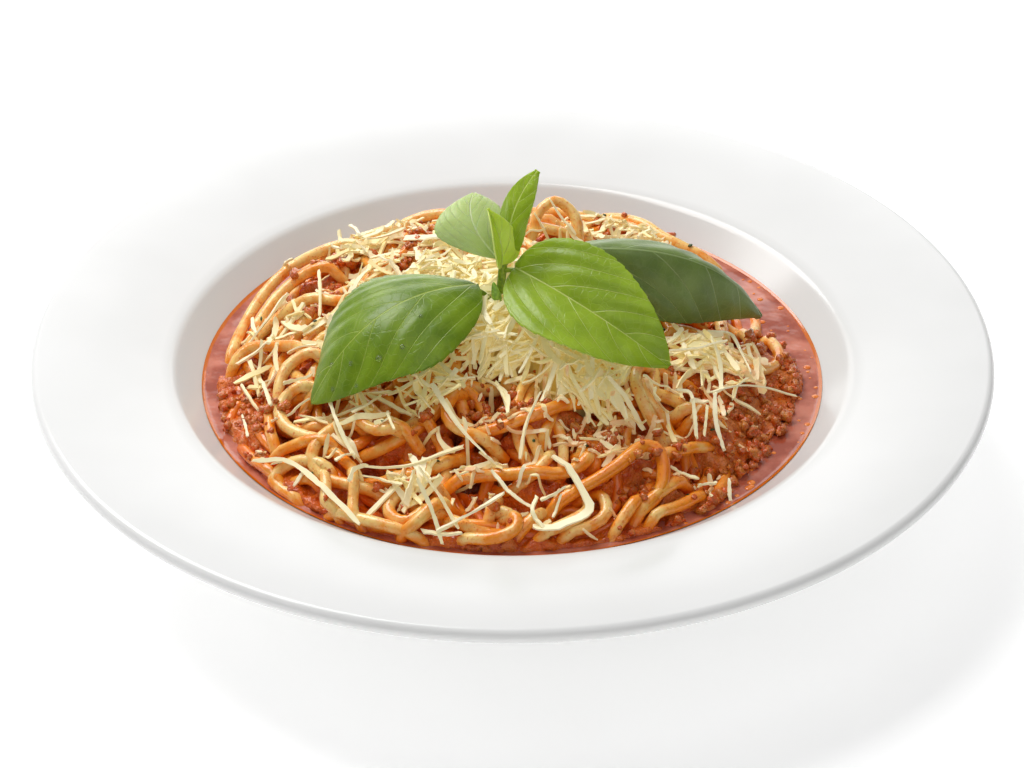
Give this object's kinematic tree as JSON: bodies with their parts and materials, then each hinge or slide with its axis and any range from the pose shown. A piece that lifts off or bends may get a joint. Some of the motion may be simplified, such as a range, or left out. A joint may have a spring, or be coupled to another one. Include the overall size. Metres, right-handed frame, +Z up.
{
  "type": "plate of spaghetti with meat and tomato sauce",
  "caption": "Wide-rimmed white pasta plate filled with spaghetti in minced-meat tomato sauce, topped with grated cheese and a sprig of basil.",
  "frame": {"origin": "centre of the plate's foot ring, on the surface that the plate stands on", "axes": "+Z up, +Y away from the diner, +X to the diner's right"},
  "size_m": [0.25, 0.25, 0.0948],
  "materials": {
    "porcelain": "glossy white glaze",
    "tomato_sauce": "wet, oily, slightly translucent",
    "pasta": "cooked noodles with a thin film of sauce",
    "meat_sauce": "wet crumbly mince in sauce",
    "cheese": "soft satin, slightly translucent",
    "basil_stalk": "satin",
    "basil_dark": "glossy leaf",
    "basil_bright": "satin leaf lit through",
    "basil_dull": "satin bluish leaf",
    "basil_pale": "pale leaf underside"
  },
  "bodies": {
    "root": {"plate": "porcelain", "sauce": "tomato_sauce", "spaghetti": "pasta", "meat_sauce": "meat_sauce", "grated_cheese": "cheese", "basil_stem": "basil_stalk", "basil_leaf_left": "basil_dark", "basil_leaf_front": "basil_bright", "basil_leaf_right": "basil_dull", "basil_leaf_back": "basil_pale", "basil_leaf_top": "basil_bright", "basil_leaf_small": "basil_bright", "basil_bud": "basil_dark"}
  },
  "joints": []
}
